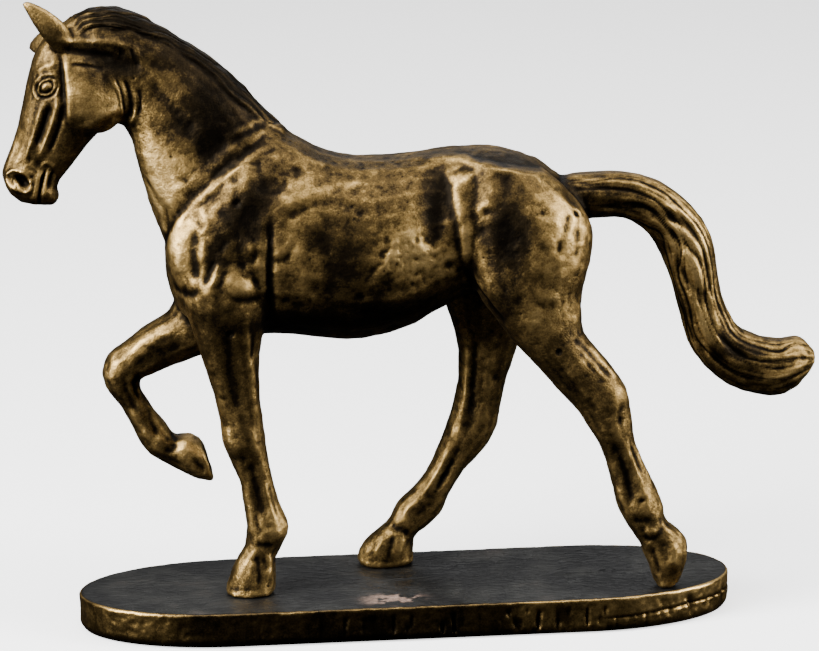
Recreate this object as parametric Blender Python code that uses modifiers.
"""A walking bronze horse on an oval plinth, cast in sections.

The horse is modelled once as a solid clay, and the clay is sawn into the castings a foundry
would pour: torso, neck with head, four legs and tail.  Each limb has a round tenon that plugs
into a socket in the torso and is locked by a cross pin.  The three standing hooves are held to
the plinth by studs, washers and nuts, and a felt pad closes the plinth's underside.

Units are metres, +Z is up, the horse faces -X, and its near (left) side is towards -Y.
The origin is the centre of the plinth's footprint, on the surface that the statue stands on.
"""

import math

import bmesh
import bpy
from mathutils import Matrix, Vector
from mathutils.bvhtree import BVHTree

MM = 0.001

# ---------------------------------------------------------------- driving dimensions
FIGURE_LENGTH = 320.3 * MM  # muzzle to tail tip
FIGURE_HEIGHT = 237.5 * MM  # hoof soles to ear tip
BARREL_WIDTH = 56 * MM  # the rib cage at its widest

BASE_TOP = 14.5 * MM  # plinth top above the table
BASE_FRONT_MARGIN = 58 * MM  # plinth ahead of the foremost hoof
BASE_REAR_MARGIN = 21 * MM  # plinth behind the rearmost hoof
BASE_SIDE_MARGIN = 5 * MM  # plinth beside the widest hooves
BASE_END_ROUND = 61 * MM  # length of each rounded end
BASE_EDGE_ROUND = 2 * MM  # how far the lower edge is rounded in
RIM_WIDTH = 4.5 * MM  # plinth rim outside the felt pad
LEDGE_WIDTH = 3.5 * MM  # ledge that the pad's edge is glued to

PAD_THICKNESS = 2 * MM
PAD_PROUD = 0.5 * MM  # how far the pad stands below the plinth

TORSO_WALL = 8 * MM
NECK_CORE_RADIUS = 6.5 * MM
CORE_HOLE_RADIUS = 8 * MM  # hole under the belly that the casting core came out of
CORE_PLUG_LENGTH = 9 * MM

NECK_TENON_RADIUS = 11 * MM
LIMB_TENON_RADIUS = 5.2 * MM
TAIL_TENON_RADIUS = 4.6 * MM
TENON_LENGTH = 9 * MM
PIN_RADIUS = 1.3 * MM
PIN_BITE = 2.5 * MM  # how far a cross pin enters the metal beyond the tenon
PIN_RECESS = 0.8 * MM  # peened end below the skin

STUD_RADIUS = 1.5 * MM
STUD_ENGAGEMENT = 12 * MM  # stud length inside the hoof
WASHER_RADIUS = 3.5 * MM
WASHER_THICKNESS = 0.7 * MM
NUT_ACROSS_FLATS = 5.5 * MM
NUT_HEIGHT = 2.4 * MM
WASHER_ROOM = 0.7 * MM  # counterbore beside each washer
STUD_TAIL = 0.6 * MM  # stud showing below its nut
PAD_ROOM = 2.2 * MM  # between the studs and the felt pad

GAP = 0.3 * MM  # clearance between neighbouring pieces
SINK = 3 * MM  # overlap of shapes that a Boolean joins

# The pocket under the plinth has just the height that the pad and the fixings need.
POCKET_TOP = PAD_THICKNESS + PAD_ROOM + STUD_TAIL + NUT_HEIGHT + WASHER_THICKNESS + 2 * GAP

# ---------------------------------------------------------------- the clay's fineness
LOFT_SIDES = 28
SHARP_ANGLE = math.radians(40)
LOFT_STEPS = 4
VOXEL = 1.5 * MM
SMOOTHING = 5
KEPT_FACES = 0.052  # share of the fused clay's faces that the castings keep
ROUND_SIDES = 24
PIN_SIDES = 12

# ---------------------------------------------------------------- the maquette
# The outlines below are a small model in its own millimetres, standing at height 0 with its
# muzzle at -153.8 and its tail tip at 166.5.  figure() stretches it to the driving dimensions.
MAQUETTE_LENGTH = 320.3
MAQUETTE_HEIGHT = 237.5
MAQUETTE_BARREL = 56.0

# A station is (front x, front z, back x, back z, half width, middle y).  The front and back
# points are the limb's outline from the side.  On the trunk they are its top and bottom.
TRUNK = [
    (-92.7, 139, -92.7, 130, 6, 0),
    (-91.2, 150, -90.2, 120, 15, 0),
    (-86.2, 160, -85.2, 112, 20, 0),
    (-77.2, 171, -77.2, 107, 23.5, 0),
    (-64, 181, -64, 105, 25, 0),
    (-52, 185.5, -52, 104, 26, 0),
    (-42, 183.2, -42, 103.4, 27, 0),
    (-32, 177.4, -32, 102.2, 28, 0),
    (-20, 174, -20, 101, 28, 0),
    (-8, 173.4, -8, 102.5, 27.5, 0),
    (3, 174, 3, 106, 26, 0),
    (14, 175.2, 14, 112, 24.5, 0),
    (26, 176.2, 26, 118, 24, 0),
    (38, 175.7, 38, 120, 25, 0),
    (50, 171.8, 50, 121, 23, 0),
    (60, 165.5, 60, 122, 20, 0),
    (67, 161, 67, 124, 15, 0),
    (72, 153, 72, 130, 8, 0),
]
NECK = [
    (-32, 176.5, -74, 118, 21, 0),
    (-42, 183.5, -86.9, 130, 20.5, 0),
    (-52, 191.5, -92.7, 142, 18.5, 0),
    (-62, 203.2, -96.7, 153, 16, 0),
    (-72, 212.2, -100.1, 164, 13.8, 0),
    (-82, 219.5, -102.5, 175, 12, 0),
    (-92, 226.4, -104.9, 184.5, 10.8, 0),
    (-102, 232, -108.4, 190.5, 10.5, 0),
    (-112, 234.6, -110, 193, 10.5, 0),
    (-120, 233.8, -111, 196, 10, 0),
    (-126, 229, -114, 201, 8, 0),
]
HEAD = [
    (-119, 232.5, -105, 200, 7, 0),
    (-127, 231, -105.6, 194.5, 10, 0),
    (-135.7, 224.5, -107.5, 190, 11.5, 0),
    (-140.7, 217.5, -112, 189.5, 12, 0),
    (-143.8, 207.5, -116.6, 187, 11.8, 0),
    (-146.2, 197, -121.4, 182, 10.4, 0),
    (-148.8, 187.5, -126.1, 176, 8.8, 0),
    (-152, 179, -130.4, 170.8, 7.6, 0),
    (-154.6, 173, -133.6, 166.8, 7.8, 0),
    (-154.4, 168.2, -133.8, 163.2, 8, 0),
    (-151.7, 163.2, -134.6, 160.6, 7.4, 0),
    (-147.7, 159.6, -138, 158.6, 5, 0),
]
NEAR_FORELEG = [
    (-80, 148, -52, 146, 8, -14),
    (-85.5, 134, -52, 134, 11, -14.5),
    (-86.5, 122, -53, 122, 12.5, -14),
    (-84, 112, -54.5, 112, 11.5, -13),
    (-81, 101.5, -57, 101.5, 10, -12),
    (-78, 90.5, -57.8, 90.5, 9, -11),
    (-75.2, 81, -57.6, 81, 8.2, -10.5),
    (-73.4, 71, -56.6, 71, 8, -10),
    (-72.8, 63, -55.8, 63, 7.6, -10),
    (-69.6, 54.5, -54.8, 54.5, 6.2, -9.5),
    (-66.3, 45.5, -53, 45.5, 5.6, -9.5),
    (-64.9, 36.5, -50.8, 36.5, 6, -9),
    (-64, 27.5, -47.2, 26.5, 7, -9),
    (-64.8, 19.5, -50.8, 18.5, 6.4, -9),
    (-68.2, 13.5, -53, 13.5, 7.2, -9),
    (-71.2, 6.5, -53, 6.5, 8.4, -9),
    (-73.4, 0, -53.4, 0, 9.2, -9),
]
OFF_FORELEG = [
    (-84, 132, -54, 132, 10, 13.5),
    (-88, 123, -60, 110, 12, 14),
    (-90.4, 113, -72, 96, 11.5, 14),
    (-93.9, 109, -81.5, 92, 10, 14),
    (-101.4, 104.8, -91, 88.8, 8.8, 14),
    (-109.4, 98.5, -99.5, 85.2, 8, 14),
    (-115.7, 94, -103.9, 83.8, 8, 14),
    (-118.9, 87, -104.5, 82.2, 7.8, 14),
    (-117.5, 80, -103.9, 79, 7.2, 14),
    (-112.4, 73, -101.1, 73.8, 6, 14),
    (-108.9, 66, -98.4, 69.5, 5.6, 14),
    (-105.9, 59, -93.9, 64, 6.4, 14),
    (-101.9, 52.8, -91.9, 60, 7, 14),
    (-96.9, 49.4, -89.5, 59.4, 6.6, 14),
    (-89.8, 45.2, -87.5, 59.6, 7.6, 14),
    (-82.8, 41.7, -84.5, 59.6, 8.6, 14),
    (-75.3, 39.6, -81, 57.4, 8.8, 14),
]
NEAR_HIND_LEG = [
    (26, 174, 56, 168, 9, -12),
    (22.5, 160, 67.8, 156, 13.5, -14),
    (23.5, 146, 73.3, 146, 15.5, -15),
    (25.5, 133, 72.8, 134, 15.5, -16),
    (28.5, 121, 69.3, 121.5, 14, -17),
    (35, 111, 68.5, 111.5, 12.5, -18),
    (43, 100.5, 70, 103.5, 10.8, -19),
    (51.5, 91, 76, 96.5, 9.6, -20),
    (58.5, 82.5, 81.1, 89.5, 8.6, -21),
    (66, 74.5, 86.1, 82, 8.4, -21.5),
    (71.5, 66, 87.7, 71, 7.6, -22),
    (76.3, 57, 89.5, 60, 6.4, -22),
    (79, 48, 93.1, 51, 5.6, -22),
    (81.3, 38.5, 97.9, 41, 6.2, -22),
    (83.5, 30.5, 100.7, 33, 7, -22),
    (88.4, 23, 101.8, 27.5, 6.4, -22),
    (91.8, 17.5, 109.2, 20.5, 7.2, -22),
    (94.8, 10, 110.6, 13, 7.6, -22),
    (96.8, 4, 108.4, 5, 6.4, -22),
    (98, 0, 106, 0, 5.6, -22),
]
OFF_HIND_LEG = [
    (26, 174, 56, 168, 9, 12),
    (20, 160, 68, 156, 13.5, 14),
    (17.5, 146, 72, 144, 15.5, 15),
    (16, 132, 67, 131, 15.5, 16),
    (16, 121, 60, 119, 14.5, 17),
    (18.6, 110, 55.2, 108, 12.5, 18),
    (21.8, 99.5, 50.7, 97.5, 10.6, 19),
    (24, 88.5, 46.7, 86.5, 9.4, 20),
    (24, 77.5, 43.8, 77.5, 8.4, 21),
    (22, 67.5, 41.6, 67, 7.8, 21.5),
    (19.2, 57.5, 39.2, 55.5, 8, 22),
    (15.6, 48.5, 34.2, 47, 7.4, 22),
    (11, 38.5, 25.7, 38, 6, 22),
    (5, 31.2, 19.7, 28, 5.8, 22),
    (-1.2, 25.6, 16.8, 21.6, 6.8, 22),
    (-4.8, 18.2, 10.7, 15.2, 6.6, 22),
    (-10.3, 13.4, 5.6, 11.8, 7.4, 22),
    (-15.8, 8.4, 4.6, 6, 8.6, 22),
    (-18, 2.8, 5, 2, 9, 22),
    (-17.8, 0, 4.6, 0, 9, 22),
]
TAIL = [
    (58, 162, 62, 146, 6, 0),
    (66, 163.8, 70, 146.5, 7.5, 0),
    (75, 164.3, 77.5, 146, 8.4, 0),
    (86, 164.4, 85.5, 146.3, 8.2, 0),
    (97, 162, 91.5, 144.4, 8, 0),
    (107.5, 156.6, 97.5, 139.8, 8.4, 0),
    (117, 147.6, 102.4, 132, 9, 0),
    (123, 137, 105.6, 124.2, 9.4, 0),
    (125, 125.6, 107.8, 117.6, 9.2, 0),
    (126.6, 116, 110, 109, 8.8, 0),
    (129.6, 107.4, 112, 101, 8.4, 0),
    (133.4, 100.4, 115.4, 91.6, 8.6, 0),
    (138.5, 97.3, 122.6, 82.5, 9, 0),
    (145, 94.6, 131.5, 75.5, 9.4, 0),
    (151.5, 93.7, 141.5, 71.9, 9.6, 0),
    (158.6, 94.8, 150, 70.9, 9, 0),
    (163, 91.4, 157.5, 73.9, 6.8, 0),
    (166.3, 86.6, 163.4, 80.6, 3, 0),
]
# Muscle and bone that swell the lofts: (x, y, z, radius x, y, z), on both sides of the middle.
SWELLINGS = [
    (-118, 6.5, 199, 11.5, 5.2, 12),  # cheek
    (-135.5, 8.2, 206.5, 5.5, 3.6, 4.5),  # brow
    (-149, 4.2, 167.5, 4.6, 4.4, 5),  # nostril
    (-137, 0, 162, 4, 6, 4),  # chin
    (-78, 12, 134, 13, 9, 17),  # breast
    (-60, 17, 150, 15, 8, 24),  # shoulder
    (26, 16.5, 161, 9, 5, 9),  # point of the hip
    (44, 14, 154, 22, 11.5, 16),  # croup
]
# A hoof stands on the sole point (x, y); the near hind only rests its toe.
HOOVES = {
    "near_fore": (-63.4, -9),
    "near_hind": (102, -21),
    "off_hind": (-6.2, 22),
}
HOOF_TOE_X = -73.4
HOOF_HEEL_X = 109.8
HOOF_SIDE_Y = 31.0

# Ears, as stations from the root to the tip (middle x, y, z, half width, half thickness), and
# the direction (x, z) that each ear's width runs in.  The off ear is turned out to its side.
EARS = {
    "near_ear": (
        [
            (-126.5, -4.6, 216.5, 4.6, 3.4),
            (-130.6, -7.6, 224.6, 5, 2.9),
            (-134.4, -9.2, 229.4, 4.6, 2.3),
            (-138, -9.6, 233.4, 3.6, 1.9),
            (-141.4, -9.4, 236.8, 2, 1.4),
            (-143.6, -9, 238.6, 0.8, 0.7),
        ],
        (0.62, 0.78),
    ),
    "off_ear": (
        [
            (-127.5, 5, 216, 4.4, 3.4),
            (-132, 8.4, 219, 5.2, 2.9),
            (-135.6, 11.4, 219.8, 5.4, 2.4),
            (-138.6, 13.8, 219.4, 4.6, 2),
            (-141, 15.8, 218.6, 2.8, 1.5),
            (-142.6, 17.2, 217.8, 0.9, 0.8),
        ],
        (0.2, 0.98),
    ),
}

# Saw cuts: the middle of the cut (x, y, z) and its slope, as the direction (x, z) in which
# the limb leaves the torso.  reach is how far the limb's own box runs along that direction,
# spread how wide it is across it, and sides the y range it may take.
CUTS = {
    "neck_head_casting": dict(at=(-68.5, 0, 164.5), way=(-0.70, 0.714), reach=150, spread=75, sides=(-45, 45)),
    "near_foreleg": dict(at=(-69, -12, 105), way=(0, -1), reach=120, spread=26, sides=(-40, 1.6)),
    "off_foreleg": dict(at=(-86.5, 14, 101), way=(-0.9, -0.436), reach=80, spread=62, sides=(2.2, 40)),
    "near_hind_leg": dict(at=(61, -19.5, 95.5), way=(0.6, -0.8), reach=125, spread=30, sides=(-45, -2)),
    "off_hind_leg": dict(at=(37, 19, 98), way=(0, -1), reach=110, spread=58, sides=(2, 45)),
    "tail_casting": dict(at=(70.5, 0, 155), way=(0.877, 0.48), reach=130, spread=120, sides=(-10.7, 10.7)),
}
TENON_RADII = {"neck_head_casting": NECK_TENON_RADIUS, "tail_casting": TAIL_TENON_RADIUS}
PIN_NAMES = {
    "neck_head_casting": "neck_pin",
    "near_foreleg": "near_fore_pin",
    "off_foreleg": "off_fore_pin",
    "near_hind_leg": "near_hind_pin",
    "off_hind_leg": "off_hind_pin",
    "tail_casting": "tail_pin",
}

# The hollow left by the core inside the torso, as trunk stations that are taken in by the wall.
CORE_FIRST, CORE_LAST = 4, 14
CORE_ENDS_IN = 3 * MM
CORE_PLUG_X = -16.0

BRONZE = (0.42, 0.30, 0.14, 1.0)
DARK_PATINA = (0.055, 0.055, 0.048, 1.0)
FELT = (0.012, 0.014, 0.013, 1.0)
STEEL = (0.55, 0.55, 0.56, 1.0)


# ---------------------------------------------------------------- the figure's frame
ALONG_SCALE = FIGURE_LENGTH / MAQUETTE_LENGTH
UP_SCALE = FIGURE_HEIGHT / MAQUETTE_HEIGHT
SIDE_SCALE = BARREL_WIDTH / MAQUETTE_BARREL
BASE_LENGTH = (HOOF_HEEL_X - HOOF_TOE_X) * ALONG_SCALE + BASE_FRONT_MARGIN + BASE_REAR_MARGIN
BASE_WIDTH = 2 * (HOOF_SIDE_Y * SIDE_SCALE + BASE_SIDE_MARGIN)
FIGURE_X = -BASE_LENGTH / 2 + BASE_FRONT_MARGIN - HOOF_TOE_X * ALONG_SCALE
SOLE_Z = BASE_TOP + GAP


def figure(x, y, z):
    """A point of the maquette as a point of the statue."""
    return Vector((x * ALONG_SCALE + FIGURE_X, y * SIDE_SCALE, z * UP_SCALE + SOLE_Z))


def figure_way(x, z):
    """A direction in the maquette's side view as a unit direction of the statue."""
    return Vector((x * ALONG_SCALE, 0, z * UP_SCALE)).normalized()


# ---------------------------------------------------------------- scene helpers
def new_collection(name):
    collection = bpy.data.collections.new(name)
    bpy.context.scene.collection.children.link(collection)
    return collection


def clear_scene():
    for obj in list(bpy.data.objects):
        bpy.data.objects.remove(obj, do_unlink=True)


def material(name, colour, metallic, roughness):
    made = bpy.data.materials.new(name)
    made.use_nodes = True
    shader = made.node_tree.nodes["Principled BSDF"]
    shader.inputs["Base Color"].default_value = colour
    shader.inputs["Metallic"].default_value = metallic
    shader.inputs["Roughness"].default_value = roughness
    made.diffuse_color = colour
    return made


def add_object(name, mesh, collection, finish=None):
    obj = bpy.data.objects.new(name, mesh)
    collection.objects.link(obj)
    if finish:
        mesh.materials.append(finish)
    return obj


def as_helper(obj):
    """Marks a cutter or guide, which is no part of the statue."""
    obj.hide_render = True
    obj.display_type = "WIRE"
    return obj


def evaluated_mesh(obj):
    graph = bpy.context.evaluated_depsgraph_get()
    return bpy.data.meshes.new_from_object(obj.evaluated_get(graph))


def boolean(obj, operation, other):
    modifier = obj.modifiers.new(f"{operation.lower()} {other.name}", "BOOLEAN")
    modifier.operation = operation
    modifier.object = other
    modifier.solver = "EXACT"


# ---------------------------------------------------------------- lofts
def spline(stations, steps):
    """Catmull-Rom through rows of numbers, steps to each stretch."""
    rows = []
    last = len(stations) - 1
    for i in range(last):
        before, start = stations[max(i - 1, 0)], stations[i]
        end, after = stations[i + 1], stations[min(i + 2, last)]
        for k in range(steps):
            t = k / steps
            rows.append(
                [
                    0.5 * (2 * b + (c - a) * t + (2 * a - 5 * b + 4 * c - d) * t**2 + (3 * b - a - 3 * c + d) * t**3)
                    for a, b, c, d in zip(before, start, end, after)
                ]
            )
    rows.append(list(stations[last]))
    return rows


def oval(front, back, half_width, squareness=2.15):
    """A closed ring between two points, half_width to each side along Y."""
    middle, half = (front + back) / 2, (front - back) / 2
    ring = []
    for k in range(LOFT_SIDES):
        angle = 2 * math.pi * k / LOFT_SIDES
        along, across = math.cos(angle), math.sin(angle)
        along = math.copysign(abs(along) ** (2 / squareness), along)
        across = math.copysign(abs(across) ** (2 / squareness), across)
        ring.append(middle + half * along + Vector((0, half_width * across, 0)))
    return ring


def add_rings(shape, rings):
    """Joins rings of points into one closed skin with flat ends, in a bmesh."""
    rows = [[shape.verts.new(point) for point in ring] for ring in rings]
    count = len(rows[0])
    faces = []
    for lower, upper in zip(rows, rows[1:]):
        for k in range(count):
            nxt = (k + 1) % count
            faces.append(shape.faces.new((lower[k], lower[nxt], upper[nxt], upper[k])))
    faces.append(shape.faces.new(rows[0][::-1]))
    faces.append(shape.faces.new(rows[-1]))
    bmesh.ops.recalc_face_normals(shape, faces=faces)


def station_rings(stations):
    rings = []
    for fx, fz, bx, bz, half_width, y in spline(stations, LOFT_STEPS):
        rings.append(oval(figure(fx, y, fz), figure(bx, y, bz), half_width * SIDE_SCALE))
    return rings


def mesh_of(name, build):
    """A mesh that the function build fills in, as a bmesh."""
    shape = bmesh.new()
    build(shape)
    mesh = bpy.data.meshes.new(name)
    shape.to_mesh(mesh)
    shape.free()
    return mesh


def add_swellings(shape):
    for x, y, z, rx, ry, rz in SWELLINGS:
        for side in (-1, 1) if y else (1,):
            size = Vector((rx * ALONG_SCALE, ry * SIDE_SCALE, rz * UP_SCALE))
            place = Matrix.Translation(figure(x, side * y, z)) @ Matrix.Diagonal((*size, 1))
            bmesh.ops.create_uvsphere(shape, u_segments=20, v_segments=12, radius=1, matrix=place)


def make_clay(collection):
    """The whole horse as one smooth skin: lofts and swellings, fused and smoothed."""

    def build(shape):
        for stations in (TRUNK, NECK, HEAD, NEAR_FORELEG, OFF_FORELEG, NEAR_HIND_LEG, OFF_HIND_LEG, TAIL):
            add_rings(shape, station_rings(stations))
        add_swellings(shape)

    rough = as_helper(add_object("rough_clay", mesh_of("rough_clay", build), collection))
    fuse = rough.modifiers.new("fuse", "REMESH")
    fuse.mode = "VOXEL"
    fuse.voxel_size = VOXEL
    smooth = rough.modifiers.new("smooth", "SMOOTH")
    smooth.factor = 0.5
    smooth.iterations = SMOOTHING
    thin = rough.modifiers.new("thin", "DECIMATE")
    thin.ratio = KEPT_FACES
    thin.use_collapse_triangulate = True
    return evaluated_mesh(rough)


# ---------------------------------------------------------------- cutters
def add_box(name, at, along, start, end, spread, sides, collection):
    """A box that runs from start to end along a direction in the XZ plane, from a point."""
    across = Vector((along.z, 0, -along.x))
    low, high = sides
    box = add_object(name, mesh_of(name, lambda s: bmesh.ops.create_cube(s, size=1)), collection)
    box.location = at + along * (start + end) / 2
    box.location.y = (low + high) / 2
    box.rotation_euler = Matrix((along, Vector((0, 1, 0)), -across)).transposed().to_euler()
    box.scale = (end - start, high - low, 2 * spread)
    return as_helper(box)


def add_rod(name, start, end, radius, collection, finish=None, sides=ROUND_SIDES):
    """A round bar from one point to another, or a hexagonal one when sides is 6."""
    mesh = mesh_of(
        name,
        lambda shape: bmesh.ops.create_cone(
            shape,
            cap_ends=True,
            segments=sides,
            radius1=radius,
            radius2=radius,
            depth=(end - start).length,
        ),
    )
    rod = add_object(name, mesh, collection, finish)
    rod.location = (start + end) / 2
    rod.rotation_euler = (end - start).to_track_quat("Z", "Y").to_euler()
    return rod


def cutter_rod(name, start, end, radius, collection, sides=ROUND_SIDES):
    return as_helper(add_rod(name, start, end, radius, collection, sides=sides))


# ---------------------------------------------------------------- castings
def ear_rings(stations, width_way):
    rings = []
    wide_way = figure_way(*width_way)
    for x, y, z, half_width, half_thickness in spline(stations, 2):
        middle = figure(x, y, z)
        wide = wide_way * half_width * UP_SCALE
        ring = oval(middle + wide, middle - wide, half_thickness * SIDE_SCALE)
        rings.append(ring[::2])
    return rings


def core_rings():
    """The torso's hollow: the trunk's own stations, taken in by the wall."""
    rings = []
    chosen = spline(TRUNK[CORE_FIRST : CORE_LAST + 1], 1)
    for i, (fx, fz, bx, bz, half_width, y) in enumerate(chosen):
        top, bottom = figure(fx, y, fz), figure(bx, y, bz)
        wall = TORSO_WALL + (CORE_ENDS_IN if i in (0, len(chosen) - 1) else 0)
        room = half_width * SIDE_SCALE - wall
        ring = oval(top - Vector((0, 0, wall)), bottom + Vector((0, 0, wall)), room, squareness=2.0)
        rings.append(ring[::2])
    return rings


def neck_core_rings(cut):
    """The neck's hollow, from the tenon's open end up towards the poll."""
    at, way = figure(*cut["at"]), figure_way(*cut["way"])
    top = figure(-96, 0, 205)
    rings = []
    for share, radius in ((-0.35, 1), (0.0, 1), (0.5, 0.9), (0.85, 0.75), (1.0, 0.45)):
        middle = at + (top - at) * share
        across = Vector((-way.z, 0, way.x)) * NECK_CORE_RADIUS * radius
        rings.append(oval(middle + across, middle - across, NECK_CORE_RADIUS * radius, squareness=2.0)[::2])
    return rings


def make_castings(clay, collection, helpers, bronze):
    """Saws the clay into the torso and its limbs, and fits each limb's tenon and cross pin."""
    skin = BVHTree.FromPolygons([v.co for v in clay.vertices], [p.vertices for p in clay.polygons])
    torso = add_object("torso_casting", clay.copy(), collection, bronze)
    for name, cut in CUTS.items():
        at, way = figure(*cut["at"]), figure_way(*cut["way"])
        radius = TENON_RADII.get(name, LIMB_TENON_RADIUS)
        spread = cut["spread"] * max(ALONG_SCALE, UP_SCALE)
        reach = cut["reach"] * max(ALONG_SCALE, UP_SCALE)
        sides = [y * SIDE_SCALE for y in cut["sides"]]

        limb = add_object(name, clay.copy(), collection, bronze)
        boolean(limb, "INTERSECT", add_box(f"{name}_keep", at, way, GAP, reach, spread, sides, helpers))
        boolean(torso, "DIFFERENCE", add_box(f"{name}_saw", at, way, 0, reach + GAP, spread, sides, helpers))
        tenon = cutter_rod(f"{name}_tenon", at - way * TENON_LENGTH, at + way * SINK, radius, helpers)
        boolean(limb, "UNION", tenon)
        socket = cutter_rod(
            f"{name}_socket", at - way * (TENON_LENGTH + GAP), at + way * SINK, radius + GAP, helpers
        )
        boolean(torso, "DIFFERENCE", socket)

        pin_way = Vector((0, -1 if cut["at"][1] <= 0 else 1, 0))
        crossing = at - way * TENON_LENGTH / 2
        outside = skin.ray_cast(crossing + pin_way * radius, pin_way)[0]
        inner_end = crossing - pin_way * (radius + GAP + PIN_BITE)
        hole_ends = inner_end - pin_way * GAP, outside + pin_way * SINK
        hole = cutter_rod(f"{name}_pin_hole", *hole_ends, PIN_RADIUS + GAP, helpers, PIN_SIDES)
        boolean(limb, "DIFFERENCE", hole)
        boolean(torso, "DIFFERENCE", hole)
        outer_end = outside - pin_way * PIN_RECESS
        add_rod(PIN_NAMES[name], inner_end, outer_end, PIN_RADIUS, collection, bronze, PIN_SIDES)
    return torso


def add_ears(head, helpers):
    for name, (stations, width_way) in EARS.items():
        mesh = mesh_of(name, lambda shape: add_rings(shape, ear_rings(stations, width_way)))
        boolean(head, "UNION", as_helper(add_object(name, mesh, helpers)))


def hollow_out(torso, head, clay, collection, helpers, bronze):
    """The core's hollow in the torso and neck, the hole the core came out of, and its plug."""
    core = as_helper(add_object("torso_core", mesh_of("torso_core", lambda s: add_rings(s, core_rings())), helpers))
    boolean(torso, "DIFFERENCE", core)
    rings = neck_core_rings(CUTS["neck_head_casting"])
    neck_core = as_helper(add_object("neck_core", mesh_of("neck_core", lambda s: add_rings(s, rings)), helpers))
    boolean(head, "DIFFERENCE", neck_core)
    boolean(torso, "DIFFERENCE", neck_core)

    belly = figure(CORE_PLUG_X, 0, 101.5)
    below = belly - Vector((0, 0, 2 * SINK))
    inside = belly + Vector((0, 0, CORE_PLUG_LENGTH))
    up = Vector((0, 0, SINK))
    boolean(torso, "DIFFERENCE", cutter_rod("core_hole", below, inside + up, CORE_HOLE_RADIUS, helpers))
    plug = add_object("belly_core_plug", clay.copy(), collection, bronze)
    boolean(plug, "INTERSECT", cutter_rod("plug_bar", below, inside, CORE_HOLE_RADIUS - GAP, helpers))


# ---------------------------------------------------------------- plinth
def plinth_outline(inset, sides=80):
    """The plinth's outline: straight sides between two elliptical ends, taken in by inset."""
    half_length, half_width = BASE_LENGTH / 2 - inset, BASE_WIDTH / 2 - inset
    end = BASE_END_ROUND - inset
    points = []
    for k in range(sides):
        angle = 2 * math.pi * (k + 0.5) / sides
        side = math.copysign(1, math.cos(angle))
        x = side * (half_length - end) + end * math.cos(angle)
        points.append((x, half_width * math.sin(angle)))
    return points


def plinth_ring(inset, z):
    return [Vector((x, y, z)) for x, y in plinth_outline(inset)]


def make_plinth(collection, helpers, patina, felt):
    bottom = PAD_PROUD
    rounding = 4
    rings = []
    for k in range(rounding + 1):
        angle = math.pi / 2 * k / rounding
        inset = BASE_EDGE_ROUND * (1 - math.sin(angle))
        rings.append(plinth_ring(inset, bottom + 1.4 * BASE_EDGE_ROUND * (1 - math.cos(angle))))
    rings.append(plinth_ring(0, BASE_TOP - 0.4 * MM))
    rings.append(plinth_ring(0.4 * MM, BASE_TOP))
    plinth = add_object("base_plate", mesh_of("base_plate", lambda s: add_rings(s, rings)), collection, patina)

    rebate_top = PAD_THICKNESS + GAP
    rebate = [plinth_ring(RIM_WIDTH - GAP, bottom - SINK), plinth_ring(RIM_WIDTH - GAP, rebate_top)]
    pocket_in = RIM_WIDTH + LEDGE_WIDTH
    pocket = [plinth_ring(pocket_in, bottom - SINK), plinth_ring(pocket_in, POCKET_TOP)]
    for name, cut in (("pad_rebate", rebate), ("nut_pocket", pocket)):
        mesh = mesh_of(name, lambda s: add_rings(s, cut))
        boolean(plinth, "DIFFERENCE", as_helper(add_object(name, mesh, helpers)))

    pad_rings = [plinth_ring(RIM_WIDTH, 0), plinth_ring(RIM_WIDTH, PAD_THICKNESS)]
    add_object("felt_pad", mesh_of("felt_pad", lambda s: add_rings(s, pad_rings)), collection, felt)
    return plinth


def make_fixings(castings, plinth, collection, helpers, steel):
    """A stud, washer and nut under each standing hoof, and the bores that they pass through."""
    washer_top = POCKET_TOP - GAP
    nut_top = washer_top - WASHER_THICKNESS - GAP
    stud_bottom = nut_top - NUT_HEIGHT - STUD_TAIL
    stud_top = SOLE_Z + STUD_ENGAGEMENT
    bore = STUD_RADIUS + GAP
    limbs = {"near_fore": "near_foreleg", "near_hind": "near_hind_leg", "off_hind": "off_hind_leg"}
    for hoof, (x, y) in HOOVES.items():
        foot = figure(x, y, 0)

        def at(z):
            return Vector((foot.x, foot.y, z))

        hole = cutter_rod(f"{hoof}_bore", at(stud_bottom - SINK), at(stud_top + GAP), bore, helpers, PIN_SIDES)
        boolean(castings[limbs[hoof]], "DIFFERENCE", hole)
        boolean(plinth, "DIFFERENCE", hole)
        room = WASHER_RADIUS + WASHER_ROOM
        top = at(POCKET_TOP)
        boolean(plinth, "DIFFERENCE", cutter_rod(f"{hoof}_room", at(-SINK), top, room, helpers))
        add_rod(f"{hoof}_stud", at(stud_bottom), at(stud_top), STUD_RADIUS, collection, steel, PIN_SIDES)
        washer_bottom = washer_top - WASHER_THICKNESS
        washer = add_rod(f"{hoof}_washer", at(washer_bottom), at(washer_top), WASHER_RADIUS, collection, steel)
        boolean(washer, "DIFFERENCE", hole)
        corner_radius = NUT_ACROSS_FLATS / 2 / math.cos(math.pi / 6)
        nut_bottom = nut_top - NUT_HEIGHT
        nut = add_rod(f"{hoof}_nut", at(nut_bottom), at(nut_top), corner_radius, collection, steel, 6)
        boolean(nut, "DIFFERENCE", hole)


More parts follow.
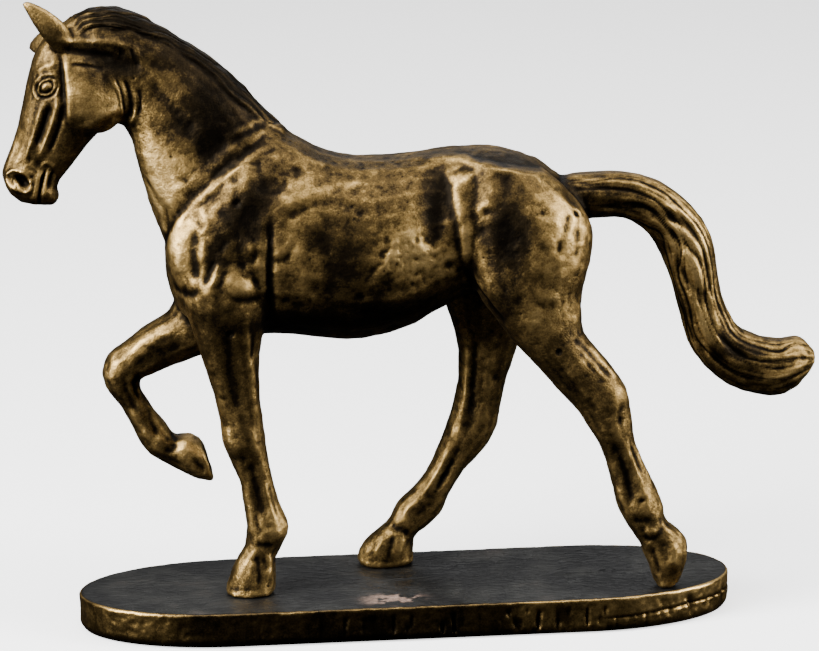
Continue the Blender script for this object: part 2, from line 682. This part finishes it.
def file_off_scraps(casting):
    """A changed figure can leave loose scraps beside a saw cut: the casting is its largest body."""
    shape = bmesh.new()
    shape.from_mesh(evaluated_mesh(casting))
    unseen, bodies = set(shape.verts), []
    while unseen:
        body, edge_of_body = set(), [unseen.pop()]
        while edge_of_body:
            vert = edge_of_body.pop()
            body.add(vert)
            fresh = {e.other_vert(vert) for e in vert.link_edges} & unseen
            unseen -= fresh
            edge_of_body += fresh
        faces = {f for v in body for f in v.link_faces}
        volume = sum(f.calc_center_median().dot(f.normal) * f.calc_area() for f in faces) / 3
        bodies.append((volume, body))
    largest = max(volume for volume, _ in bodies)
    scraps = [vert for volume, body in bodies if 0 <= volume < largest for vert in body]
    if scraps:
        bmesh.ops.delete(shape, geom=scraps, context="VERTS")
        filed = bpy.data.meshes.new(casting.data.name + "_filed")
        shape.to_mesh(filed)
        filed.materials.append(casting.data.materials[0])
        casting.modifiers.clear()
        casting.data = filed
    shape.free()


def shade(objects):
    """Round faces are shaded smooth, and edges sharper than the angle stay sharp."""
    for obj in objects:
        obj.data.shade_smooth()
        obj.data.set_sharp_from_angle(angle=SHARP_ANGLE)


def gather(statue):
    """Hangs every piece from one empty at the statue's origin."""
    origin = bpy.data.objects.new("statue_origin", None)
    pieces = list(statue.objects)
    statue.objects.link(origin)
    for piece in pieces:
        piece.parent = origin


def main():
    clear_scene()
    statue = new_collection("bronze_horse_statue")
    helpers = new_collection("cutters")
    helpers.hide_render = True
    bronze = material("bronze", BRONZE, 1.0, 0.38)
    patina = material("dark_patina", DARK_PATINA, 0.6, 0.5)
    felt = material("felt", FELT, 0.0, 0.95)
    steel = material("steel", STEEL, 1.0, 0.35)

    clay = make_clay(helpers)
    torso = make_castings(clay, statue, helpers, bronze)
    castings = {name: statue.objects[name] for name in CUTS}
    head = castings["neck_head_casting"]
    add_ears(head, helpers)
    hollow_out(torso, head, clay, statue, helpers, bronze)
    plinth = make_plinth(statue, helpers, patina, felt)
    make_fixings(castings, plinth, statue, helpers, steel)
    for casting in [torso, *castings.values()]:
        file_off_scraps(casting)
    shade([*statue.objects, *helpers.objects])
    gather(statue)


main()
